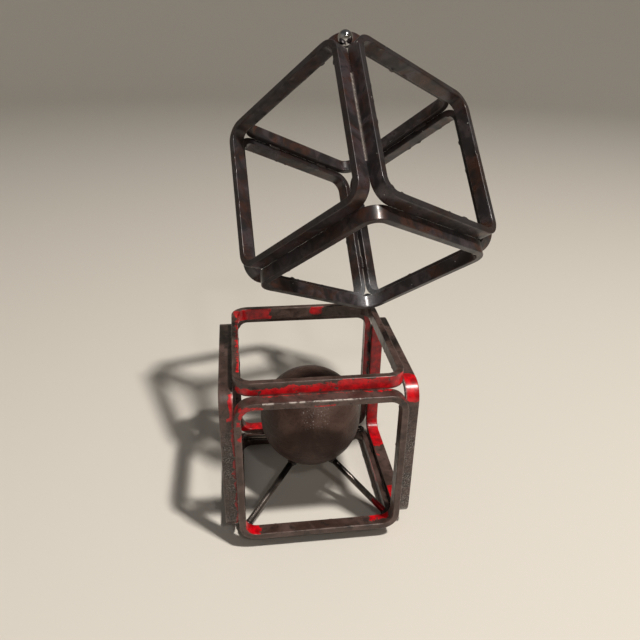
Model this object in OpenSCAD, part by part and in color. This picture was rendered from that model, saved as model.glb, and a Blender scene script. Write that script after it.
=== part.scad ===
// Magnetic desk sculpture: two open steel cubes, one standing on its corner on the other.
// Each cube is six slices of square tube. Neighbouring slices touch along one edge only,
// so a V-shaped groove runs down every edge of the cube and every corner has a small hollow.
// The origin is under the middle of the whole sculpture, on the table. +Z is up.

/* [Square tube] */
// Outer side of the square tube that the rings are sliced from
tube_side = 76.2; // [60:0.1:100]
// Wall thickness of the tube
tube_wall = 3.175; // [2.4:0.005:4.2]
// Outer corner radius of the tube
corner_r = 8.5; // [7.2:0.1:10.5]
// Width of each slice
slice_w = 6.35; // [4.8:0.05:9]

/* [Core ball] */
// Diameter of the solid ball in the base cube
ball_d = 50.8; // [38:0.1:58]
// Diameter of the rods that carry the ball
rod_d = 3.175; // [2:0.005:4.2]
// How far below the middle of the ball the rods' axes meet
rod_aim_drop = 14; // [6:0.5:18]

/* [Ball magnets] */
// Diameter of the two ball magnets
magnet_d = 6.35; // [5.6:0.05:8]
// Clearance between a magnet and the steel that it seats on
magnet_gap = 0.1; // [0.05:0.01:0.2]

/* [Stance of the upper cube] */
// Lean of its long diagonal from the vertical, towards the middle of the base
lean = 12.5; // [0:0.5:14]
// Turn about its long diagonal
swivel = 146; // [-180:1:180]

/* [Welds] */
// Radius of the tack welds inside the edges
tack_r = 1.4; // [0.8:0.1:2]
// Length of each tack weld
tack_len = 5; // [3:0.5:12]
// Radius of the beads round the ends of the rods
bead_r = 2.7; // [2.4:0.1:3]

/* [Hidden] */
$fn = 64;

half_side = tube_side / 2;
// Straight part of a ring's side, measured from the ring's middle
straight_half = half_side - corner_r;
// The tack welds of an edge sit this share of the way from its middle to the rings' corners
tack_spread = 0.55;
base_height = tube_side + 2 * slice_w;
core_z = base_height / 2;
cut_margin = 1;

// The middle of a ring's corner band lies this far from the ring's middle, along both sides
band_mid = straight_half + (corner_r - tube_wall / 2) * sqrt(1 / 2);

// How far a ball magnet's centre sinks past the three ring faces that meet at a corner.
// A ball smaller than the hollow rests on the rims, and a larger one stays out between the bands.
magnet_reach = magnet_d / 2 + magnet_gap;
hollow_r = corner_r * (sqrt(2) - 1);
rim_seat = (sqrt(2) * hollow_r - sqrt(3 * pow(magnet_reach, 2) - pow(hollow_r, 2))) / 3;
band_seat = (hollow_r - magnet_reach) / sqrt(2);
magnet_seat = magnet_reach < hollow_r ? rim_seat : band_seat;

// Turns that stand a cube on its corner, and that lean it towards the base's middle
to_corner = -45;
to_diagonal = -acos(1 / sqrt(3));
lean_heading = -135;

function turned_z(v, a) = [v.x * cos(a) - v.y * sin(a), v.x * sin(a) + v.y * cos(a), v.z];
function turned_y(v, a) = [v.x * cos(a) + v.z * sin(a), v.y, v.z * cos(a) - v.x * sin(a)];
// A direction of the upper cube's own axes, as it points once the cube is set up
function set_up(v) =
    let (on_tip = turned_y(turned_z(v, to_corner), to_diagonal))
    turned_z(turned_y(turned_z(on_tip, swivel - lean_heading), lean), lean_heading);

cube_axes = [set_up([1, 0, 0]), set_up([0, 1, 0]), set_up([0, 0, 1])];
diagonal = set_up([1, 1, 1] / sqrt(3));

// The pivot magnet stands on the top ring, over the middle of its back right corner
pivot = [band_mid, band_mid, base_height + magnet_d / 2 + magnet_gap];
upper_middle = pivot + diagonal * (half_side - magnet_seat) * sqrt(3);

// Half of the upper cube's width along axis i of the room, over its three pairs of rings
function ring_reach(n, p, q) =
    abs(n) * (half_side + slice_w) + (abs(p) + abs(q)) * straight_half
    + corner_r * sqrt(pow(p, 2) + pow(q, 2));
function upper_reach(i) =
    let (a = cube_axes[0][i], b = cube_axes[1][i], c = cube_axes[2][i])
    max(ring_reach(a, b, c), ring_reach(b, c, a), ring_reach(c, a, b));

// The base is set aside so that the sculpture's whole outline is centred on the origin
base_half = half_side + slice_w;
function outline_middle(i) =
    (max(base_half, upper_middle[i] + upper_reach(i))
    + min(-base_half, upper_middle[i] - upper_reach(i))) / 2;
base_offset = [-outline_middle(0), -outline_middle(1), 0];

// The rods run from under the ball down to the corner bands of the bottom ring
rod_top_z = core_z - rod_aim_drop;
rod_foot = band_mid * sqrt(2);
rod_slope = atan((rod_top_z - slice_w) / rod_foot);
rod_length = rod_foot / cos(rod_slope);
rod_overrun = 1.5;
rod_in_ball = sqrt(pow(ball_d / 2, 2) - pow(rod_aim_drop * cos(rod_slope), 2))
    - rod_aim_drop * sin(rod_slope);

// Headings of the four lower corners, seen from above
front_left = -135;
front_right = -45;
back_left = 135;
back_right = 45;

steel = [0.17, 0.14, 0.13];
base_steel = [0.24, 0.15, 0.13];
ball_steel = [0.26, 0.20, 0.17];
weld_steel = [0.32, 0.30, 0.29];
magnet_metal = [0.55, 0.56, 0.58];

// A flat square plate with round corners, centred on the Z axis, standing on z = 0
module rounded_plate(side, r, h) {
    straight = side - 2 * r;
    translate([-side / 2, -straight / 2, 0]) cube([side, straight, h]);
    translate([-straight / 2, -side / 2, 0]) cube([straight, side, h]);
    for (x = [-1, 1], y = [-1, 1])
        translate([x * straight / 2, y * straight / 2, 0]) cylinder(r = r, h = h);
}

// One slice of the square tube
module tube_slice() {
    difference() {
        rounded_plate(tube_side, corner_r, slice_w);
        translate([0, 0, -cut_margin])
            rounded_plate(tube_side - 2 * tube_wall, corner_r - tube_wall, slice_w + 2 * cut_margin);
    }
}

// A slice on one face of a cube that is centred on the origin. turn takes +Z to that face.
module cube_face(turn) {
    rotate(turn) translate([0, 0, half_side]) tube_slice();
}

// A quarter-round tack weld along Z, inside the corner between two rings that meet on the Z axis
module tack_weld() {
    intersection() {
        union() {
            translate([0, 0, -tack_len / 2]) cylinder(r = tack_r, h = tack_len);
            for (end = [-1, 1]) translate([0, 0, end * tack_len / 2]) sphere(r = tack_r);
        }
        translate([-2 * tack_r, -2 * tack_r, -tack_len]) cube([2 * tack_r, 2 * tack_r, 2 * tack_len]);
    }
}

// Two tack welds on the inside of each of a cube's twelve edges
module cube_tack_welds() {
    for (along = [[0, 0, 0], [90, 0, 90], [0, -90, -90]])
        rotate(along)
            for (corner = [0:90:270], end = [-1, 1])
                rotate([0, 0, corner])
                    translate([half_side, half_side, end * straight_half * tack_spread]) tack_weld();
}

// Places the base cube, whose own middle is the origin
module in_base() {
    translate(base_offset + [0, 0, core_z]) children();
}

// Places the upper cube, whose own middle is the origin
module in_upper() {
    translate(base_offset + upper_middle)
        rotate([0, 0, lean_heading]) rotate([0, lean, 0]) rotate([0, 0, swivel - lean_heading])
            rotate([0, to_diagonal, 0]) rotate([0, 0, to_corner]) children();
}

// Lays a rod's axis along Z, from the point under the ball's middle outwards and down
module along_rod(heading) {
    translate(base_offset + [0, 0, rod_top_z])
        rotate([0, 0, heading]) rotate([0, 90 + rod_slope, 0]) children();
}

module core_ball_solid() {
    translate(base_offset + [0, 0, core_z]) sphere(d = ball_d);
}

// Everything below the top face of the bottom ring
module below_bottom_ring_top() {
    translate(base_offset + [-tube_side, -tube_side, slice_w - tube_side])
        cube([2 * tube_side, 2 * tube_side, tube_side]);
}

// A rod's whole bar, before its ends are cut to fit
module rod_bar(heading) {
    along_rod(heading) cylinder(d = rod_d, h = rod_length + rod_overrun);
}

// A rod, hollowed to fit the ball at one end and flush on the bottom ring at the other
module ball_rod(heading) {
    difference() {
        rod_bar(heading);
        core_ball_solid();
        below_bottom_ring_top();
    }
}

// The weld beads round both ends of one rod, on the ball and on the bottom ring
module rod_beads(heading) {
    difference() {
        along_rod(heading) translate([0, 0, rod_in_ball]) sphere(r = bead_r);
        rod_bar(heading);
        core_ball_solid();
    }
    difference() {
        translate(base_offset + turned_z([rod_foot, 0, slice_w], heading)) sphere(r = bead_r);
        rod_bar(heading);
        below_bottom_ring_top();
    }
}

// A ball magnet in the hollow at one end of the upper cube's long diagonal
module ball_magnet(end) {
    seat = end * (half_side - magnet_seat);
    in_upper() translate([seat, seat, seat]) sphere(d = magnet_d);
}

module base_ring_front() { color(base_steel) in_base() cube_face([90, 0, 0]); }
module base_ring_back() { color(base_steel) in_base() cube_face([-90, 0, 0]); }
module base_ring_left() { color(base_steel) in_base() cube_face([0, -90, 0]); }
module base_ring_right() { color(base_steel) in_base() cube_face([0, 90, 0]); }
module base_ring_top() { color(base_steel) in_base() cube_face([0, 0, 0]); }
module base_ring_bottom() { color(base_steel) in_base() cube_face([180, 0, 0]); }
module base_tack_welds() { color(weld_steel) in_base() cube_tack_welds(); }

module core_ball() { color(ball_steel) core_ball_solid(); }
module ball_rod_front_left() { color(steel) ball_rod(front_left); }
module ball_rod_front_right() { color(steel) ball_rod(front_right); }
module ball_rod_back_left() { color(steel) ball_rod(back_left); }
module ball_rod_back_right() { color(steel) ball_rod(back_right); }
module rod_weld_beads() {
    color(weld_steel) for (heading = [front_left, front_right, back_left, back_right]) rod_beads(heading);
}

module upper_ring_low_front() { color(steel) in_upper() cube_face([0, -90, 0]); }
module upper_ring_low_right() { color(steel) in_upper() cube_face([90, 0, 0]); }
module upper_ring_low_left() { color(steel) in_upper() cube_face([180, 0, 0]); }
module upper_ring_high_back() { color(steel) in_upper() cube_face([0, 90, 0]); }
module upper_ring_high_left() { color(steel) in_upper() cube_face([-90, 0, 0]); }
module upper_ring_high_right() { color(steel) in_upper() cube_face([0, 0, 0]); }
module upper_tack_welds() { color(weld_steel) in_upper() cube_tack_welds(); }
module pivot_magnet() { color(magnet_metal) ball_magnet(-1); }
module top_magnet() { color(magnet_metal) ball_magnet(1); }

base_ring_front();
base_ring_back();
base_ring_left();
base_ring_right();
base_ring_top();
base_ring_bottom();
base_tack_welds();
core_ball();
ball_rod_front_left();
ball_rod_front_right();
ball_rod_back_left();
ball_rod_back_right();
rod_weld_beads();
upper_ring_low_front();
upper_ring_low_right();
upper_ring_low_left();
upper_ring_high_back();
upper_ring_high_left();
upper_ring_high_right();
upper_tack_welds();
pivot_magnet();
top_magnet();
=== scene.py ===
# Magnetic desk sculpture: an open steel cube that stands on its corner, on a ball magnet, on a
# matching base cube. The pieces follow the bench work: slices of tube, core ball, rods, welds
# and magnets. The studio comes last.
import math

import bpy
from mathutils import Matrix, Vector


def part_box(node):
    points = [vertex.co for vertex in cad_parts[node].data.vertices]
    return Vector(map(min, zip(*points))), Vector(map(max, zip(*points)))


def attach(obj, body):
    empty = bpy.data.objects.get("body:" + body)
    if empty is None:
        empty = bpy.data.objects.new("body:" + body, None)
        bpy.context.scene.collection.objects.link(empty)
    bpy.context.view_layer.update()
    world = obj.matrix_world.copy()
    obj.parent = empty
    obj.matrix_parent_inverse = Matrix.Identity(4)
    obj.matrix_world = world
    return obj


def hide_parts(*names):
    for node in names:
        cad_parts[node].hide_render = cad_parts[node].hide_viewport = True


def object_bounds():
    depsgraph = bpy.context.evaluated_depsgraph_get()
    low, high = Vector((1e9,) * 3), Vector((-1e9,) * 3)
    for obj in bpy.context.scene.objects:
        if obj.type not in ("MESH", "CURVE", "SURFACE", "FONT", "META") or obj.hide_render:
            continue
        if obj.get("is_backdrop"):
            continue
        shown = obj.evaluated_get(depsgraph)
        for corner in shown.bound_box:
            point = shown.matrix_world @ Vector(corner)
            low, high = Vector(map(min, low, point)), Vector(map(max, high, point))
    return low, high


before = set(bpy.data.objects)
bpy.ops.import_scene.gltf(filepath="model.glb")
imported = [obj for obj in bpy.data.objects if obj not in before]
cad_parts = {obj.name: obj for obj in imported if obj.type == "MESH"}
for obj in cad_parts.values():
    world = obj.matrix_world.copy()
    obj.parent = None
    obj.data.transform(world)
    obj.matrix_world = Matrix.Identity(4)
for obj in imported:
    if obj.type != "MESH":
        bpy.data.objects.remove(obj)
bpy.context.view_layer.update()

# --- Tube slices ----------------------------------------------------------------------------------
# Each cube is six slices sawn off a square steel tube with a wall of an eighth of an inch. The mill
# rounded the tube's corners, the saw left sharp cut faces with a few burrs, and a file broke the
# arrises.
TUBE_WALL = 0.003175
TUBE_CORNER = 0.0085
ARRIS_ROUNDING = 0.0004
MILL_WAVINESS = 0.00009
SEAM_ROUNDING = 0.00002
BURR_HEIGHT = 0.0009
FILED_BURR = 0.0004
STEP_ALONG = 0.001
WALL_STEPS = 6
CORNER_STEPS = 16
ARRIS_STEPS = 4
ARRIS_REACH = 0.0008
SEAM_REACH = 0.0004
CUT_REACH = 0.0003
MIDDLE_BLEND = 0.0001
MILL_WAVE_SCALE = 70.0
BURR_SCALE = 260.0
BASE_RINGS = ("front", "back", "left", "right", "top", "bottom")
UPPER_RINGS = ("low_front", "low_right", "low_left", "high_back", "high_left", "high_right")


def fill_socket(tree, socket, value):
    """Links a socket to another one, or gives it a plain value."""
    if isinstance(value, bpy.types.NodeSocket):
        tree.links.new(value, socket)
    else:
        socket.default_value = value


def add(tree, kind, *values, out=0, **settings):
    """Adds a node, with its open sockets filled in order, and returns one of its outputs."""
    made = tree.nodes.new(kind)
    for name, value in settings.items():
        if hasattr(made, name):
            setattr(made, name, value)
        else:
            fill_socket(tree, made.inputs[name.replace("_", " ")], value)
    open_sockets = [socket for socket in made.inputs if socket.enabled]
    for socket, value in zip(open_sockets, values):
        if value is not None:
            fill_socket(tree, socket, value)
    return [socket for socket in made.outputs if socket.enabled][out]


def maths(tree, operation, *values):
    """A sum on numbers, in a shader tree or a geometry tree."""
    return add(tree, "ShaderNodeMath", *values, operation=operation)


def vectors(tree, operation, *values):
    """A sum on vectors, in a shader tree or a geometry tree."""
    return add(tree, "ShaderNodeVectorMath", *values, operation=operation)


def scaled(tree, vector, share):
    """A vector times a number."""
    longer = vectors(tree, "SCALE", vector)
    fill_socket(tree, longer.node.inputs["Scale"], share)
    return longer


def ramp_between(tree, value, low, high, at_low=0.0, at_high=1.0):
    """A smooth step from at_low to at_high as value goes from low to high."""
    return add(
        tree, "ShaderNodeMapRange", value, low, high, at_low, at_high,
        interpolation_type="SMOOTHSTEP",
    )


def new_geometry_tree(name, inputs):
    """An empty Geometry Nodes tree with named inputs. Each is (name, kind of socket, default)."""
    tree = bpy.data.node_groups.new(name, "GeometryNodeTree")
    tree.interface.new_socket("Geometry", in_out="INPUT", socket_type="NodeSocketGeometry")
    for label, kind, default in inputs:
        socket = tree.interface.new_socket(label, in_out="INPUT", socket_type=kind)
        if default is not None:
            socket.default_value = default
    tree.interface.new_socket("Geometry", in_out="OUTPUT", socket_type="NodeSocketGeometry")
    return tree, tree.nodes.new("NodeGroupInput").outputs


def end_geometry_tree(tree, shape, metal):
    """Makes the instances real, gives the shape its metal, and ends the tree."""
    real = add(tree, "GeometryNodeRealizeInstances", shape)
    smooth = add(tree, "GeometryNodeSetShadeSmooth", real)
    finished = add(tree, "GeometryNodeSetMaterial", smooth, Material=metal)
    tree.links.new(finished, tree.nodes.new("NodeGroupOutput").inputs[0])


def formed(name, start_mesh, tree, sizes, place=None, voxel=None):
    """Runs a Geometry Nodes tree on a mesh, and returns the outcome as a plain object."""
    rough = bpy.data.objects.new(name + "_rough", start_mesh)
    bpy.context.scene.collection.objects.link(rough)
    if voxel:
        fuse = rough.modifiers.new("fuse", "REMESH")
        fuse.mode = "VOXEL"
        fuse.voxel_size = voxel
        fuse.use_smooth_shade = True
    modifier = rough.modifiers.new("form", "NODES")
    modifier.node_group = tree
    for item in tree.interface.items_tree:
        if item.in_out == "INPUT" and item.name in sizes:
            modifier[item.identifier] = sizes[item.name]
    evaluated = rough.evaluated_get(bpy.context.evaluated_depsgraph_get())
    mesh = bpy.data.meshes.new_from_object(evaluated)
    mesh.name = name
    bpy.data.objects.remove(rough)
    if place is not None:
        mesh.transform(place)
    piece = bpy.data.objects.new(name, mesh)
    bpy.context.scene.collection.objects.link(piece)
    return piece


slice_tree, given = new_geometry_tree("sliced tube", (
    ("Side", "NodeSocketFloat", 0.0762),
    ("Width", "NodeSocketFloat", 0.00635),
    ("Wall", "NodeSocketFloat", TUBE_WALL),
    ("Corner Radius", "NodeSocketFloat", TUBE_CORNER),
    ("Arris Rounding", "NodeSocketFloat", ARRIS_ROUNDING),
    ("Seam Rounding", "NodeSocketFloat", SEAM_ROUNDING),
    ("Waviness", "NodeSocketFloat", MILL_WAVINESS),
    ("Burr Height", "NodeSocketFloat", BURR_HEIGHT),
    ("Seed", "NodeSocketFloat", 0.0),
    ("Steel", "NodeSocketMaterial", None),
))
wall_middle_side = maths(slice_tree, "SUBTRACT", given["Side"], given["Wall"])
half_wall = maths(slice_tree, "MULTIPLY", given["Wall"], 0.5)
half_width = maths(slice_tree, "MULTIPLY", given["Width"], 0.5)
path_square = add(
    slice_tree, "GeometryNodeCurvePrimitiveQuadrilateral", wall_middle_side, wall_middle_side,
)
path_round = add(
    slice_tree, "GeometryNodeFilletCurve", path_square, mode="POLY", Count=CORNER_STEPS,
    Radius=maths(slice_tree, "SUBTRACT", given["Corner Radius"], half_wall),
)
path = add(slice_tree, "GeometryNodeResampleCurve", path_round, mode="LENGTH", Length=STEP_ALONG)
# The wall's section is drawn with its outer skin at +X and the cube's middle towards +Y, so the
# arris at +X and +Y is the seam where two slices touch. It keeps its sharp edge under the weld.
wall_square = add(
    slice_tree, "GeometryNodeCurvePrimitiveQuadrilateral", given["Wall"], given["Width"],
)
wall_fine = add(slice_tree, "GeometryNodeSubdivideCurve", wall_square, Cuts=WALL_STEPS - 1)
section_point = add(slice_tree, "GeometryNodeInputPosition")
section_x = add(slice_tree, "ShaderNodeSeparateXYZ", section_point, out=0)
section_y = add(slice_tree, "ShaderNodeSeparateXYZ", section_point, out=1)
# Where X and Y are both above zero, the rounding is the seam's, and elsewhere the arris's
rounding = add(
    slice_tree, "ShaderNodeMapRange", maths(slice_tree, "MINIMUM", section_x, section_y),
    -MIDDLE_BLEND, MIDDLE_BLEND, given["Arris Rounding"], given["Seam Rounding"],
)
past_middle = maths(
    slice_tree, "ADD",
    maths(slice_tree, "DIVIDE", maths(slice_tree, "ABSOLUTE", section_x), half_wall),
    maths(slice_tree, "DIVIDE", maths(slice_tree, "ABSOLUTE", section_y), half_width),
)
# Only the four corners of the section reach 2
is_arris = maths(slice_tree, "GREATER_THAN", past_middle, 1.99)
wall_section = add(
    slice_tree, "GeometryNodeFilletCurve", wall_fine, mode="POLY", Count=ARRIS_STEPS,
    Radius=maths(slice_tree, "MULTIPLY", rounding, is_arris),
)
keep_place = slice_tree.nodes.new("GeometryNodeCaptureAttribute")
keep_place.capture_items.new("VECTOR", "place in the wall")
slice_tree.links.new(wall_section, keep_place.inputs["Geometry"])
slice_tree.links.new(add(slice_tree, "GeometryNodeInputPosition"), keep_place.inputs[1])
ring_bar = add(slice_tree, "GeometryNodeCurveToMesh", path, keep_place.outputs["Geometry"])
in_wall = keep_place.outputs[1]
wall_x = add(slice_tree, "ShaderNodeSeparateXYZ", in_wall, out=0)
wall_y = add(slice_tree, "ShaderNodeSeparateXYZ", in_wall, out=1)
from_skin = maths(slice_tree, "SUBTRACT", half_wall, maths(slice_tree, "ABSOLUTE", wall_x))
from_cut = maths(slice_tree, "SUBTRACT", half_width, maths(slice_tree, "ABSOLUTE", wall_y))
from_arris = maths(slice_tree, "ADD", from_skin, from_cut)
arris = ramp_between(slice_tree, from_arris, 0.0, ARRIS_REACH, 1.0, 0.0)
here = add(slice_tree, "GeometryNodeInputPosition")
mill_wave = add(
    slice_tree, "ShaderNodeTexNoise", noise_dimensions="4D",
    Vector=here, W=given["Seed"], Scale=MILL_WAVE_SCALE, Detail=3.0,
)
burr_noise = add(
    slice_tree, "ShaderNodeTexNoise", noise_dimensions="4D",
    Vector=here, W=given["Seed"], Scale=BURR_SCALE, Detail=1.0,
)
inner_side = ramp_between(slice_tree, wall_x, -0.001, 0.0, 1.0, 0.0)
burr = maths(
    slice_tree, "MULTIPLY", ramp_between(slice_tree, burr_noise, 0.61, 0.7), inner_side,
)
burr = maths(slice_tree, "MULTIPLY", burr, arris)
burr = maths(slice_tree, "MULTIPLY", burr, given["Burr Height"])
to_seam = maths(
    slice_tree, "MAXIMUM",
    maths(slice_tree, "SUBTRACT", half_wall, wall_x),
    maths(slice_tree, "SUBTRACT", half_width, wall_y),
)
seam = ramp_between(slice_tree, to_seam, 0.0, SEAM_REACH, 1.0, 0.0)
# The dip fades out at the seam, so that two slices meet without a gap
dip = maths(slice_tree, "MULTIPLY", mill_wave, given["Waviness"])
dip = maths(slice_tree, "MULTIPLY", dip, maths(slice_tree, "SUBTRACT", 1.0, seam))
outwards = add(slice_tree, "GeometryNodeInputNormal")
# A burr leans over the opening and never past the cut face, so it moves flat in X and Y
along_cut = vectors(slice_tree, "MULTIPLY", outwards, (1.0, 1.0, 0.0))
shift = vectors(
    slice_tree, "SUBTRACT",
    scaled(slice_tree, along_cut, burr), scaled(slice_tree, outwards, dip),
)
worked_bar = add(slice_tree, "GeometryNodeSetPosition", ring_bar, Offset=shift)
cut_face = ramp_between(slice_tree, from_cut, 0.0, CUT_REACH, 1.0, 0.0)
for label, share in (("arris", arris), ("saw_cut", cut_face), ("seam", seam)):
    worked_bar = add(
        slice_tree, "GeometryNodeStoreNamedAttribute", worked_bar, data_type="FLOAT",
        domain="POINT", Name=label, Value=share,
    )
end_geometry_tree(slice_tree, worked_bar, given["Steel"])


def middle_of(node):
    """The middle of a CAD node's box, which is its own middle too where it is symmetrical."""
    low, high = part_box(node)
    return (low + high) / 2


def cube_frame(right, left, back, front, top, bottom):
    """A cube's middle and turn, from its three pairs of opposite rings."""
    columns = [
        (middle_of(high) - middle_of(low)).normalized()
        for high, low in ((right, left), (back, front), (top, bottom))
    ]
    turn = Matrix(columns).transposed()
    return Matrix.Translation((middle_of(right) + middle_of(left)) / 2) @ turn.to_4x4()


base_frame = cube_frame(
    "base_ring_right", "base_ring_left", "base_ring_back",
    "base_ring_front", "base_ring_top", "base_ring_bottom",
)
upper_frame = cube_frame(
    "upper_ring_high_back", "upper_ring_low_front", "upper_ring_high_left",
    "upper_ring_low_right", "upper_ring_high_right", "upper_ring_low_left",
)
top_ring_low, top_ring_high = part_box("base_ring_top")
tube_side = top_ring_high.x - top_ring_low.x
slice_width = top_ring_high.z - top_ring_low.z
half_side = tube_side / 2

TO_MILLIMETRES = (1000.0, 1000.0, 1000.0)


def finish_tree(name):
    """A new material, its tree and its one shader."""
    material = bpy.data.materials.new(name)
    material.use_nodes = True
    tree = material.node_tree
    return material, tree, tree.nodes["Principled BSDF"]


def place_on_cube(tree, cube):
    """Where a point lies in millimetres from a cube's middle, along the cube's own edges."""
    inverse = cube.inverted()
    return add(
        tree, "ShaderNodeMapping", add(tree, "ShaderNodeTexCoord", out=3), vector_type="POINT",
        Location=inverse.translation * 1000.0,
        Rotation=inverse.to_euler("XYZ"),
        Scale=TO_MILLIMETRES,
    )


def mottle(tree, place, scale, detail=4.0, roughness=0.6, distortion=0.0):
    """Cloudy noise, from 0 to 1, at so many clouds a millimetre."""
    return add(
        tree, "ShaderNodeTexNoise", place, Scale=scale, Detail=detail, Roughness=roughness,
        Distortion=distortion,
    )


def blend_colours(tree, share, one, other):
    """One colour at share 0 and the other at share 1."""
    made = tree.nodes.new("ShaderNodeMix")
    made.data_type = "RGBA"
    fill_socket(tree, made.inputs["Factor"], share)
    for socket, colour in zip((made.inputs[6], made.inputs[7]), (one, other)):
        fill_socket(tree, socket, (*colour, 1.0) if isinstance(colour, tuple) else colour)
    return made.outputs[2]


# The base cube's steel went brown in the air. It was once sprayed red: the paint is left in the
# grooves and on the inner faces, and a satin lacquer lies over all of it.
UMBER = (0.042, 0.022, 0.017)
TAUPE = (0.096, 0.058, 0.049)
SOOT = (0.010, 0.007, 0.006)
TAN_EDGE = (0.22, 0.155, 0.125)
FLECK_AND_GLINT_GREY = (0.42, 0.38, 0.36)
# Bright steel, for rubbed arrises and for painted highlights along arrises and seams
WORN_STEEL_AND_HIGHLIGHT = (0.50, 0.44, 0.40)
PAINT_RED = (0.62, 0.000, 0.006)
PAINT_SHADE = (0.27, 0.000, 0.003)
# Where the red is left on the tube's skin: the lowest and highest corner of each place, in
# millimetres from the cube's middle
RED_PLACES = (
    ((-38, -38.8, 37.9), (-12, -34, 41.4)),
    ((-16, -38.8, 37.9), (13, -34, 42.6)),
    ((9, -38.8, 37.9), (38, -34, 44.2)),
    ((-38, 31, 38.0), (-18, 36.5, 45.0)),
    ((3, 31, 40.6), (11, 36.5, 45.0)),
    ((37, -42, 30.5), (46, -27.0, 40.5)),
    ((37, 31, -36), (46, 37.5, 37)),
    ((37, 15, -37), (46, 37, -32)),
    ((37, -33, -37), (46, -18, -33)),
    ((37, -40, -40), (40.5, -33, -33)),
    ((-36.5, -45, -35.6), (-28.5, -38, -30.5)),
    ((25, -41.5, -35.6), (36, -37, -32.8)),
    ((-35.8, -45, 31.5), (-27, -42.0, 36.0)),
    ((-39.2, -40.5, -36), (-37.4, -37.4, 26)),
    ((-40.5, -41, 26), (-36.8, -34, 44)),
    ((-37, 33, -38), (-14, 46, -33)),
    ((20, 36, -38), (37, 46, -34)),
    ((34, 36.5, -20), (39, 40.0, 37)),
    ((36.6, 5, -40), (38.6, 26, -35)),
    ((33, -10, -40), (39, 8, -37.6)),
)
# Where it ran over an arris onto a sawn face
RED_ON_CUT_FACES = (
    ((-36.2, -28, 43.4), (-34.2, 34, 45.0)),
    ((-37.0, -45.6, 19.6), (-35.2, -42, 22.4)),
    ((-37.0, -45.6, 27.0), (-35.4, -42, 28.8)),
    ((-4, -46, 34.2), (6, -42, 35.6)),
    ((-35.4, -45, 31), (-26, -42.0, 36.0)),
    ((37, 31, -36), (39, 35, 37)),
    ((34, 36.5, -20), (37, 40.0, 37)),
    ((-37, 36, -36), (-14, 40, -33)),
)
# Where handling has rubbed an arris bright, with a painted highlight along it
RUBBED_AND_HIGHLIGHT_PLACES = (
    ((-27, -46, 36.8), (19, -43.4, 39.4)),
)
# The span over which a place's border wanders, in millimetres
RAGGED = 7.0


def paint_place_group():
    """A shader group: how surely a point lies in a box, with a soft border of half a millimetre."""
    group = bpy.data.node_groups.new("where paint is left", "ShaderNodeTree")
    for label in ("Place", "Middle", "Half Size"):
        group.interface.new_socket(label, in_out="INPUT", socket_type="NodeSocketVector")
    group.interface.new_socket("Left", in_out="OUTPUT", socket_type="NodeSocketFloat")
    place, middle, half_size = tuple(group.nodes.new("NodeGroupInput").outputs)[:3]
    away = vectors(group, "ABSOLUTE", vectors(group, "SUBTRACT", place, middle))
    outside = vectors(group, "SUBTRACT", away, half_size)
    x, y, z = (add(group, "ShaderNodeSeparateXYZ", outside, out=axis) for axis in range(3))
    farthest = maths(group, "MAXIMUM", maths(group, "MAXIMUM", x, y), z)
    left = ramp_between(group, farthest, -0.25, 0.25, 1.0, 0.0)
    group.links.new(left, group.nodes.new("NodeGroupOutput").inputs[0])
    return group


paint_place = paint_place_group()


def share_in(tree, place, places):
    """How surely a point lies in one of a list of places, all with ragged borders."""
    drift = add(tree, "ShaderNodeTexNoise", place, out=1, Scale=0.26, Detail=5.0, Roughness=0.6)
    drift = vectors(tree, "SUBTRACT", drift, (0.5, 0.5, 0.5))
    drift = vectors(tree, "MULTIPLY", drift, (RAGGED, RAGGED, RAGGED))
    ragged_place = vectors(tree, "ADD", place, drift)
    left = None
    for low, high in places:
        one = tree.nodes.new("ShaderNodeGroup")
        one.node_tree = paint_place
        tree.links.new(ragged_place, one.inputs["Place"])
        one.inputs["Middle"].default_value = (Vector(low) + Vector(high)) / 2
        one.inputs["Half Size"].default_value = (Vector(high) - Vector(low)) / 2
        left = one.outputs[0] if left is None else maths(tree, "MAXIMUM", left, one.outputs[0])
    return left


base_steel, tree, shader = finish_tree("brown steel with red paint")
place = place_on_cube(tree, base_frame)
clouds = mottle(tree, place, 0.09, 5.0, 0.65, 0.6)
specks = mottle(tree, place, 1.9, 3.0, 0.7)
grime = mottle(tree, place, 0.28, 5.0, 0.62)
steel_colour = blend_colours(tree, ramp_between(tree, clouds, 0.36, 0.66), UMBER, TAUPE)
grimy = ramp_between(tree, grime, 0.52, 0.70, 0.0, 0.8)
steel_colour = blend_colours(tree, grimy, steel_colour, SOOT)
pitted = ramp_between(tree, specks, 0.56, 0.7, 0.0, 0.5)
steel_colour = blend_colours(tree, pitted, steel_colour, SOOT)
# The front uprights of the side slices are rust pitted, with bright flecks between the pits
sideways, depth, level = (add(tree, "ShaderNodeSeparateXYZ", place, out=axis) for axis in range(3))
upright = maths(
    tree, "MULTIPLY",
    ramp_between(tree, maths(tree, "ABSOLUTE", sideways), 37.6, 38.2),
    ramp_between(tree, depth, -37.0, -34.0, 1.0, 0.0),
)
upright = maths(tree, "MULTIPLY", upright, ramp_between(tree, level, 6.0, 30.0, 1.0, 0.0))
rust_clouds = ramp_between(tree, mottle(tree, place, 0.14, 3.0), 0.4, 0.6, 0.3, 0.9)
upright = maths(tree, "MULTIPLY", upright, rust_clouds)
flecks = ramp_between(tree, mottle(tree, place, 1.7, 5.0, 0.85), 0.5, 0.6)
fleck_colour = blend_colours(tree, flecks, SOOT, FLECK_AND_GLINT_GREY)
upright = maths(tree, "MULTIPLY", upright, 0.8)
steel_colour = blend_colours(tree, upright, steel_colour, fleck_colour)
broken = mottle(tree, place, 0.3, 5.0, 0.65)
arris_share = add(tree, "ShaderNodeAttribute", out=2, attribute_name="arris")
wear = ramp_between(tree, broken, 0.42, 0.66, 0.0, 0.45)
wear = maths(tree, "MULTIPLY", arris_share, wear)
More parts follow.
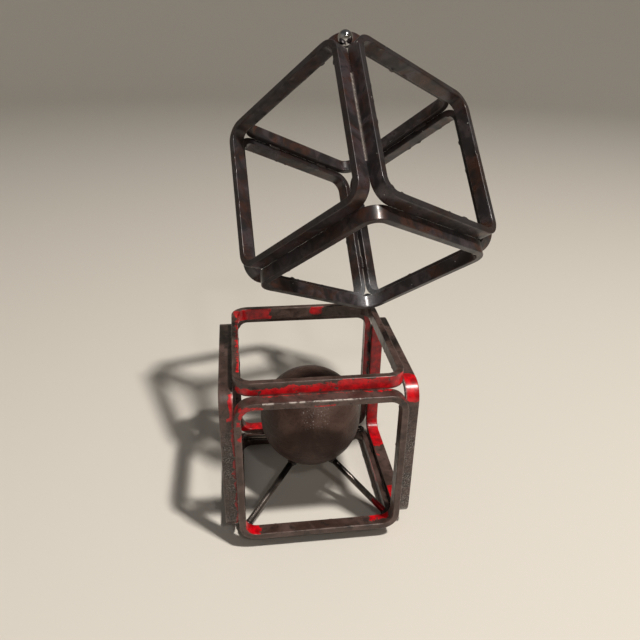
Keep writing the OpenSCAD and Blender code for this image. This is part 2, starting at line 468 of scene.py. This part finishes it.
steel_colour = blend_colours(tree, wear, steel_colour, TAN_EDGE)
# Wear and painted highlight: the rubbed front arris and flecks along the seams are blended towards
# bright steel
worn_and_highlight = maths(tree, "MULTIPLY", share_in(tree, place, RUBBED_AND_HIGHLIGHT_PLACES), arris_share)
worn_and_highlight = maths(tree, "MULTIPLY", worn_and_highlight, ramp_between(tree, broken, 0.42, 0.53))
seam_share = add(tree, "ShaderNodeAttribute", out=2, attribute_name="seam")
seam_highlight_fleck = ramp_between(tree, broken, 0.55, 0.65, 0.0, 0.6)
seam_highlight_fleck = maths(tree, "MULTIPLY", seam_share, seam_highlight_fleck)
worn_and_highlight = maths(tree, "MAXIMUM", worn_and_highlight, seam_highlight_fleck)
steel_colour = blend_colours(tree, worn_and_highlight, steel_colour, WORN_STEEL_AND_HIGHLIGHT)
saw_cut = add(tree, "ShaderNodeAttribute", out=2, attribute_name="saw_cut")
on_skin = maths(tree, "SUBTRACT", 1.0, saw_cut)
red = maths(tree, "MULTIPLY", share_in(tree, place, RED_PLACES), on_skin)
red = maths(tree, "MAXIMUM", red, share_in(tree, place, RED_ON_CUT_FACES))
chips = ramp_between(tree, mottle(tree, place, 0.5, 5.0, 0.7), 0.64, 0.68, 1.0, 0.0)
red = maths(tree, "MULTIPLY", red, chips)
paint_colour = blend_colours(tree, ramp_between(tree, grime, 0.36, 0.62), PAINT_RED, PAINT_SHADE)
fill_socket(tree, shader.inputs["Base Color"], blend_colours(tree, red, steel_colour, paint_colour))
fill_socket(tree, shader.inputs["Metallic"], ramp_between(tree, red, 0.0, 1.0, 0.15, 0.0))
rough_steel = ramp_between(tree, grime, 0.3, 0.75, 0.30, 0.5)
roughness = add(tree, "ShaderNodeMix", red, rough_steel, 0.32, data_type="FLOAT")
fill_socket(tree, shader.inputs["Roughness"], roughness)
height = maths(tree, "MULTIPLY_ADD", red, 0.9, maths(tree, "MULTIPLY", pitted, -0.5))
height = maths(tree, "MULTIPLY_ADD", grime, 0.3, height)
bump = add(tree, "ShaderNodeBump", Strength=0.6, Distance=0.00012, Height=height)
fill_socket(tree, shader.inputs["Normal"], bump)
shader.inputs["Specular IOR Level"].default_value = 0.35
shader.inputs["Coat Weight"].default_value = 0.35
shader.inputs["Coat Roughness"].default_value = 0.25

# The upper cube's steel was blackened in the forge and never painted. It shows brown and violet
# heat tints, and bare grey steel with painted glitter at the corner that takes the blows of the
# magnet.
FORGE_BLACK = (0.009, 0.009, 0.010)
FORGE_BROWN = (0.050, 0.021, 0.014)
HEAT_VIOLET = (0.053, 0.041, 0.045)
BARE_STEEL_AND_GLITTER = (0.36, 0.37, 0.39)
BRIGHT_FLECK = (0.7, 0.68, 0.66)
# Where a painted highlight runs along the seams, in millimetres from the cube's middle
PAINTED_HIGHLIGHT_SEAMS = (
    ((-22, 35, 35), (20, 42, 42)),
    ((-35, -42, -42), (-2, -35, -35)),
)
SAW_PITCH = 0.55
TIP_REACH = 17.0

blackened_steel, tree, shader = finish_tree("blackened steel")
place = place_on_cube(tree, upper_frame)
clouds = mottle(tree, place, 0.06, 4.0, 0.6, 0.8)
streaks = mottle(tree, place, 0.11, 5.0, 0.6, 1.0)
specks = mottle(tree, place, 2.4, 3.0, 0.7)
heat_tint = ramp_between(tree, clouds, 0.42, 0.58)
steel_colour = blend_colours(tree, heat_tint, FORGE_BROWN, HEAT_VIOLET)
blackened = ramp_between(tree, streaks, 0.40, 0.6, 0.0, 0.85)
saw_cut = add(tree, "ShaderNodeAttribute", out=2, attribute_name="saw_cut")
blackened = maths(tree, "MAXIMUM", blackened, maths(tree, "MULTIPLY", saw_cut, 0.62))
steel_colour = blend_colours(tree, blackened, steel_colour, FORGE_BLACK)
# Bare grey steel at the lowest corner, with painted glitter: specks lightened as if catching light
tip = Vector((-half_side, -half_side, -half_side)) * 1000.0
from_tip = vectors(tree, "DISTANCE", place, tuple(tip))
near_tip = ramp_between(tree, from_tip, TIP_REACH * 0.35, TIP_REACH, 0.75, 0.0)
painted_glitter = ramp_between(tree, specks, 0.5, 0.62, 0.35, 1.0)
bared_and_glitter = maths(tree, "MULTIPLY", near_tip, painted_glitter)
steel_colour = blend_colours(tree, bared_and_glitter, steel_colour, BARE_STEEL_AND_GLITTER)
# Painted highlight: a broken bright line along the seams in these places
seam_share = add(tree, "ShaderNodeAttribute", out=2, attribute_name="seam")
highlight_place = share_in(tree, place, PAINTED_HIGHLIGHT_SEAMS)
painted_seam_highlight = maths(tree, "MULTIPLY", seam_share, maths(tree, "MULTIPLY", highlight_place, painted_glitter))
steel_colour = blend_colours(tree, painted_seam_highlight, steel_colour, WORN_STEEL_AND_HIGHLIGHT)
flecks = ramp_between(tree, mottle(tree, place, 0.7, 2.0, 0.5), 0.77, 0.8)
steel_colour = blend_colours(tree, flecks, steel_colour, BRIGHT_FLECK)
fill_socket(tree, shader.inputs["Base Color"], steel_colour)
shader.inputs["Metallic"].default_value = 0.25
fill_socket(tree, shader.inputs["Roughness"], ramp_between(tree, streaks, 0.3, 0.7, 0.26, 0.46))
# The saw's teeth left slanting lines, which still show on the cut faces
saw_lines = add(
    tree, "ShaderNodeTexWave", place, out=1, wave_type="BANDS", bands_direction="DIAGONAL",
    Scale=SAW_PITCH, Distortion=1.5, Detail=2.0,
)
saw_lines = maths(tree, "MULTIPLY", saw_lines, saw_cut)
height = maths(tree, "ADD", specks, maths(tree, "MULTIPLY", streaks, 1.5))
height = maths(tree, "ADD", height, maths(tree, "MULTIPLY", saw_lines, 0.5))
bump = add(tree, "ShaderNodeBump", Strength=0.35, Distance=0.00008, Height=height)
fill_socket(tree, shader.inputs["Normal"], bump)
shader.inputs["Specular IOR Level"].default_value = 0.35
shader.inputs["Coat Weight"].default_value = 0.25
shader.inputs["Coat Roughness"].default_value = 0.18

# Turns that lay a slice, made flat in X and Y, on each face of its cube
FACE_TURNS = {
    "front": (90, 0, 0), "back": (-90, 0, 0), "left": (0, -90, 0),
    "right": (0, 90, 0), "top": (0, 0, 0), "bottom": (180, 0, 0),
    "low_front": (0, -90, 0), "low_right": (90, 0, 0), "low_left": (180, 0, 0),
    "high_back": (0, 90, 0), "high_left": (-90, 0, 0), "high_right": (0, 0, 0),
}


def sawn_ring(node, cube, face, seed, steel, burr_height):
    """One slice of the tube, laid on a face of its cube."""
    turn = Matrix.Identity(4)
    for axis, degrees in zip("XYZ", FACE_TURNS[face]):
        turn = Matrix.Rotation(math.radians(degrees), 4, axis) @ turn
    seat = Matrix.Translation((0.0, 0.0, half_side + slice_width / 2))
    sizes = {
        "Side": tube_side, "Width": slice_width, "Burr Height": burr_height,
        "Seed": seed, "Steel": steel,
    }
    no_mesh = bpy.data.meshes.new(node)
    ring = formed(node + "_sawn", no_mesh, slice_tree, sizes, cube @ turn @ seat)
    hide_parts(node)
    return ring


# Each slice has its own seed, so no two have the same waves and burrs
for number, face in enumerate(BASE_RINGS):
    seed = 3.0 * number
    ring = sawn_ring("base_ring_" + face, base_frame, face, seed, base_steel, FILED_BURR)
    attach(ring, "base")
for number, face in enumerate(UPPER_RINGS):
    seed = 40.0 + 3.0 * number
    ring = sawn_ring("upper_ring_" + face, upper_frame, face, seed, blackened_steel, BURR_HEIGHT)
    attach(ring, "upper_cube")

# --- Core ball ------------------------------------------------------------------------------------
# A solid two inch steel ball, forged and never ground, so its skin is faintly lumpy and pitted.
# It went as brown as the base cube. The same tree makes the skins of the rods and the welds.
BALL_BROWN = (0.078, 0.046, 0.036)
# Where painted glints lie on the ball's front, under the front bar, in millimetres from the base
# cube's middle
PAINTED_GLINT_PLACES = (((-7, -30, 8), (7, -12, 17)),)
BALL_VOXEL = 0.0005
skin_tree, given = new_geometry_tree("forged skin", (
    ("Lump Size", "NodeSocketFloat", 0.008),
    ("Lump Depth", "NodeSocketFloat", 0.0002),
    ("Pit Size", "NodeSocketFloat", 0.0012),
    ("Pit Depth", "NodeSocketFloat", 0.00008),
    ("Ripple Pitch", "NodeSocketFloat", 0.0009),
    ("Ripple Depth", "NodeSocketFloat", 0.0),
    ("Seed", "NodeSocketFloat", 0.0),
    ("Steel", "NodeSocketMaterial", None),
))
here = add(skin_tree, "GeometryNodeInputPosition")
lumps = add(
    skin_tree, "ShaderNodeTexNoise", noise_dimensions="4D", Vector=here, W=given["Seed"],
    Scale=maths(skin_tree, "DIVIDE", 1.0, given["Lump Size"]), Detail=2.0,
)
pits = add(
    skin_tree, "ShaderNodeTexNoise", noise_dimensions="4D", Vector=here, W=given["Seed"],
    Scale=maths(skin_tree, "DIVIDE", 1.0, given["Pit Size"]), Detail=2.0,
)
pits = ramp_between(skin_tree, pits, 0.55, 0.75)
# A weld's ripples lie aslant its run, whichever edge of the cube it follows
run = vectors(skin_tree, "DOT_PRODUCT", here, (1.0, 1.0, 1.0)).node.outputs["Value"]
turns = maths(skin_tree, "MULTIPLY", run, math.tau)
turns = maths(skin_tree, "DIVIDE", turns, given["Ripple Pitch"])
ripple = maths(skin_tree, "MULTIPLY_ADD", maths(skin_tree, "SINE", turns), 0.5, 0.5)
dip = maths(skin_tree, "MULTIPLY", lumps, given["Lump Depth"])
dip = maths(skin_tree, "MULTIPLY_ADD", pits, given["Pit Depth"], dip)
dip = maths(skin_tree, "MULTIPLY_ADD", ripple, given["Ripple Depth"], dip)
inwards = maths(skin_tree, "MULTIPLY", dip, -1.0)
inwards = scaled(skin_tree, add(skin_tree, "GeometryNodeInputNormal"), inwards)
skin = add(skin_tree, "GeometryNodeSetPosition", given["Geometry"], Offset=inwards)
end_geometry_tree(skin_tree, skin, given["Steel"])


def forged_piece(name, node, cube, voxel, sizes):
    """A CAD node's shape, with the skin of the real metal, laid along the edges of its cube."""
    start_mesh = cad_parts[node].data.copy()
    start_mesh.transform(cube.inverted())
    piece = formed(name, start_mesh, skin_tree, sizes, cube, voxel)
    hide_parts(node)
    return piece


ball_steel, tree, shader = finish_tree("brown forged ball")
place = place_on_cube(tree, base_frame)
clouds = mottle(tree, place, 0.06, 5.0, 0.65, 0.7)
rings = mottle(tree, vectors(tree, "MULTIPLY", place, (0.25, 0.25, 3.0)), 0.35, 4.0, 0.6)
specks = mottle(tree, place, 1.3, 4.0, 0.7)
steel_colour = blend_colours(tree, ramp_between(tree, clouds, 0.38, 0.64), UMBER, BALL_BROWN)
pitted = ramp_between(tree, specks, 0.54, 0.7, 0.0, 0.6)
steel_colour = blend_colours(tree, pitted, steel_colour, SOOT)
# Painted glints: grey flecks in the patch where a highlight falls
painted_glints = ramp_between(tree, mottle(tree, place, 1.5, 2.0, 0.5), 0.62, 0.7, 0.0, 0.4)
painted_glints = maths(tree, "MULTIPLY", painted_glints, share_in(tree, place, PAINTED_GLINT_PLACES))
steel_colour = blend_colours(tree, painted_glints, steel_colour, FLECK_AND_GLINT_GREY)
fill_socket(tree, shader.inputs["Base Color"], steel_colour)
shader.inputs["Metallic"].default_value = 0.15
fill_socket(tree, shader.inputs["Roughness"], ramp_between(tree, rings, 0.3, 0.7, 0.44, 0.56))
shader.inputs["Specular IOR Level"].default_value = 0.22
height = maths(tree, "ADD", specks, maths(tree, "MULTIPLY", rings, 0.8))
bump = add(tree, "ShaderNodeBump", Strength=1.0, Distance=0.0002, Height=height)
fill_socket(tree, shader.inputs["Normal"], bump)
core_ball = forged_piece(
    "core_ball_forged", "core_ball", base_frame, BALL_VOXEL, {"Steel": ball_steel},
)
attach(core_ball, "base")

# --- Ball rods ------------------------------------------------------------------------------------
# Four lengths of drawn round bar, an eighth of an inch thick, carry the ball from the corners of
# the bottom ring. They are polished by the draw plate, and black near the ball.
DRAWN_GREY = (0.10, 0.082, 0.072)
DRAWN_LIGHT = (0.17, 0.145, 0.13)
PAINTED_FOOT = (((27, -44, -40), (39, -30, -31)),)
ROD_VOXEL = 0.00025
rod_steel, tree, shader = finish_tree("drawn rod")
place = place_on_cube(tree, base_frame)
streaks = mottle(tree, place, 0.25, 4.0)
# Each rod darkens to black over the part nearest the ball
from_ball = vectors(tree, "LENGTH", place).node.outputs["Value"]
black_near_ball = ramp_between(tree, from_ball, 34.0, 38.0, 1.0, 0.0)
steel_colour = blend_colours(tree, streaks, DRAWN_GREY, DRAWN_LIGHT)
steel_colour = blend_colours(tree, black_near_ball, steel_colour, SOOT)
foot = maths(tree, "MULTIPLY", share_in(tree, place, PAINTED_FOOT), 0.9)
steel_colour = blend_colours(tree, foot, steel_colour, PAINT_SHADE)
fill_socket(tree, shader.inputs["Base Color"], steel_colour)
shader.inputs["Metallic"].default_value = 0.8
fill_socket(tree, shader.inputs["Roughness"], ramp_between(tree, streaks, 0.3, 0.7, 0.16, 0.26))
rod_skin = {
    "Lump Size": 0.008, "Lump Depth": 0.00006,
    "Pit Size": 0.0015, "Pit Depth": 0.00002,
    "Steel": rod_steel,
}
for heading in ("front_left", "front_right", "back_left", "back_right"):
    node = "ball_rod_" + heading
    rod = forged_piece(node + "_drawn", node, base_frame, ROD_VOXEL, rod_skin)
    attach(rod, "base")

# --- Welds ----------------------------------------------------------------------------------------
# Short tacks hold the slices together inside the edges of each cube, and a bead closes each end of
# a rod. Every drop of the bead froze as a ripple.
WELD_BROWN = (0.040, 0.028, 0.024)
WELD_DARK = (0.016, 0.012, 0.014)
WELD_VOXEL = 0.00015


def place_on_whole(tree):
    """Where a point lies in the shared frame, in millimetres."""
    place = add(tree, "ShaderNodeTexCoord", out=3)
    return add(tree, "ShaderNodeMapping", place, Scale=TO_MILLIMETRES)


weld_steel, tree, shader = finish_tree("weld metal")
tint = mottle(tree, place_on_whole(tree), 0.8, 3.0)
weld_colour = blend_colours(tree, ramp_between(tree, tint, 0.4, 0.62), WELD_BROWN, WELD_DARK)
fill_socket(tree, shader.inputs["Base Color"], weld_colour)
shader.inputs["Metallic"].default_value = 0.35
fill_socket(tree, shader.inputs["Roughness"], ramp_between(tree, tint, 0.3, 0.7, 0.25, 0.45))
weld_skin = {
    "Lump Size": 0.002, "Lump Depth": 0.0002,
    "Ripple Pitch": 0.0013, "Ripple Depth": 0.0002,
    "Steel": weld_steel,
}
for node, cube, body in (
    ("base_tack_welds", base_frame, "base"),
    ("rod_weld_beads", base_frame, "base"),
    ("upper_tack_welds", upper_frame, "upper_cube"),
):
    welds = forged_piece(node + "_rippled", node, cube, WELD_VOXEL, weld_skin)
    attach(welds, body)

# --- Ball magnets ---------------------------------------------------------------------------------
# Two nickel plated ball magnets sit in the hollows at the ends of the upper cube's long diagonal.
# They were ground round and tumbled in the plating drum, which left shallow dents.
NICKEL_DULL = (0.42, 0.41, 0.40)
NICKEL_BRIGHT = (0.55, 0.55, 0.56)
ball_tree, given = new_geometry_tree("plated ball", (
    ("Diameter", "NodeSocketFloat", 0.00635),
    ("Dent Size", "NodeSocketFloat", 0.0012),
    ("Dent Depth", "NodeSocketFloat", 0.00001),
    ("Seed", "NodeSocketFloat", 0.0),
    ("Plate", "NodeSocketMaterial", None),
))
round_ball = add(
    ball_tree, "GeometryNodeMeshIcoSphere", Subdivisions=6,
    Radius=maths(ball_tree, "MULTIPLY", given["Diameter"], 0.5),
)
dents = add(
    ball_tree, "ShaderNodeTexNoise", noise_dimensions="4D",
    Vector=add(ball_tree, "GeometryNodeInputPosition"), W=given["Seed"],
    Scale=maths(ball_tree, "DIVIDE", 1.0, given["Dent Size"]), Detail=1.0,
)
sunk = maths(ball_tree, "MULTIPLY", ramp_between(ball_tree, dents, 0.5, 0.7), given["Dent Depth"])
sunk = maths(ball_tree, "MULTIPLY", sunk, -1.0)
sunk = scaled(ball_tree, add(ball_tree, "GeometryNodeInputNormal"), sunk)
dented_ball = add(ball_tree, "GeometryNodeSetPosition", round_ball, Offset=sunk)
end_geometry_tree(ball_tree, dented_ball, given["Plate"])

nickel, tree, shader = finish_tree("nickel plate")
smears = mottle(tree, place_on_whole(tree), 0.6, 4.0)
nickel_colour = blend_colours(tree, smears, NICKEL_DULL, NICKEL_BRIGHT)
fill_socket(tree, shader.inputs["Base Color"], nickel_colour)
shader.inputs["Metallic"].default_value = 1.0
fill_socket(tree, shader.inputs["Roughness"], ramp_between(tree, smears, 0.35, 0.7, 0.08, 0.2))
for node, body, seed in (("pivot_magnet", "pivot", 0.0), ("top_magnet", "crown", 5.0)):
    low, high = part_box(node)
    sizes = {"Diameter": high.z - low.z, "Seed": seed, "Plate": nickel}
    seat = Matrix.Translation(middle_of(node))
    no_mesh = bpy.data.meshes.new(node)
    magnet = formed(node + "_plated", no_mesh, ball_tree, sizes, seat)
    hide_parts(node)
    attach(magnet, body)

# --- Studio ---------------------------------------------------------------------------------------
# A pale floor that sweeps up into a round wall, a key light from high on the front right, a weak
# light in front, a weaker fill on the left and an even grey sky.
FLOOR_FLAT = 0.25
SWEEP_START = 1.6
SWEEP_RADIUS = 0.9
WALL_TOP = 2.2
SWEEP_STEPS = 12
ROUND_STEPS = 96
FLOOR_LEVEL = -0.00005
LIGHT_AIM = Vector((0.0, 0.0, 0.1))
profile = [(FLOOR_FLAT, 0.0), (SWEEP_START, 0.0)]
for step in range(1, SWEEP_STEPS + 1):
    angle = math.pi / 2 * step / SWEEP_STEPS
    reach = SWEEP_START + SWEEP_RADIUS * math.sin(angle)
    profile.append((reach, SWEEP_RADIUS * (1 - math.cos(angle))))
profile.append((SWEEP_START + SWEEP_RADIUS, WALL_TOP))
points = [(0.0, 0.0, FLOOR_LEVEL)]
for reach, rise in profile:
    for step in range(ROUND_STEPS):
        angle = math.tau * step / ROUND_STEPS
        points.append((reach * math.cos(angle), reach * math.sin(angle), rise + FLOOR_LEVEL))
faces = [(0, 1 + step, 1 + (step + 1) % ROUND_STEPS) for step in range(ROUND_STEPS)]
for ring in range(len(profile) - 1):
    for step in range(ROUND_STEPS):
        after = (step + 1) % ROUND_STEPS
        inner, outer = 1 + ring * ROUND_STEPS, 1 + (ring + 1) * ROUND_STEPS
        faces.append((inner + step, outer + step, outer + after, inner + after))
floor_mesh = bpy.data.meshes.new("floor")
floor_mesh.from_pydata(points, [], faces)
floor_mesh.shade_smooth()
floor = bpy.data.objects.new("floor", floor_mesh)
bpy.context.scene.collection.objects.link(floor)
floor_finish, tree, shader = finish_tree("pale floor")
shader.inputs["Base Color"].default_value = (0.66, 0.62, 0.56, 1.0)
shader.inputs["Roughness"].default_value = 0.6
floor_mesh.materials.append(floor_finish)
floor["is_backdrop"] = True


def towards(azimuth, elevation):
    """A direction in degrees, where azimuth 0 is in front of the sculpture and 90 to its right."""
    turn, rise = math.radians(azimuth), math.radians(elevation)
    flat = math.cos(rise)
    return Vector((math.sin(turn) * flat, -math.cos(turn) * flat, math.sin(rise)))


def studio_light(name, azimuth, elevation, distance, size, power, colour):
    """A square soft light that faces the sculpture."""
    lamp = bpy.data.lights.new(name, "AREA")
    lamp.size = size
    lamp.energy = power
    lamp.color = colour
    light = bpy.data.objects.new(name, lamp)
    away = towards(azimuth, elevation)
    light.location = LIGHT_AIM + away * distance
    light.rotation_euler = away.to_track_quat("Z", "Y").to_euler()
    bpy.context.scene.collection.objects.link(light)


studio_light("key", 41, 64, 1.5, 0.10, 26.0, (1.0, 0.96, 0.90))
studio_light("front", 9, 42, 1.2, 0.08, 1.3, (1.0, 0.98, 0.95))
studio_light("fill", -60, 35, 1.2, 0.9, 0.3, (0.92, 0.95, 1.0))
world = bpy.data.worlds.new("sky")
world.use_nodes = True
world.node_tree.nodes["Background"].inputs["Color"].default_value = (0.80, 0.80, 0.80, 1.0)
world.node_tree.nodes["Background"].inputs["Strength"].default_value = 0.12
bpy.context.scene.world = world
bpy.context.scene.view_settings.view_transform = "Standard"

CAMERA_AIM = Vector((-0.0136, -0.0087, 0.0910))
CAMERA_DISTANCE = 0.3126
CAMERA_AZIMUTH = -8.0
CAMERA_ELEVATION = 26.6
CAMERA_ROLL = 1.1
camera_data = bpy.data.cameras.new("camera")
camera_data.sensor_width = 36.0
camera_data.lens = 35.0
camera_data.clip_start = 0.01
camera = bpy.data.objects.new("camera", camera_data)
back = towards(CAMERA_AZIMUTH, CAMERA_ELEVATION)
camera.location = CAMERA_AIM + back * CAMERA_DISTANCE
level_turn = back.to_track_quat("Z", "Y").to_matrix()
roll = Matrix.Rotation(math.radians(CAMERA_ROLL), 3, "Z")
camera.rotation_euler = (level_turn @ roll).to_euler()
bpy.context.scene.collection.objects.link(camera)
bpy.context.scene.camera = camera

bpy.context.view_layer.update()
low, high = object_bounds()
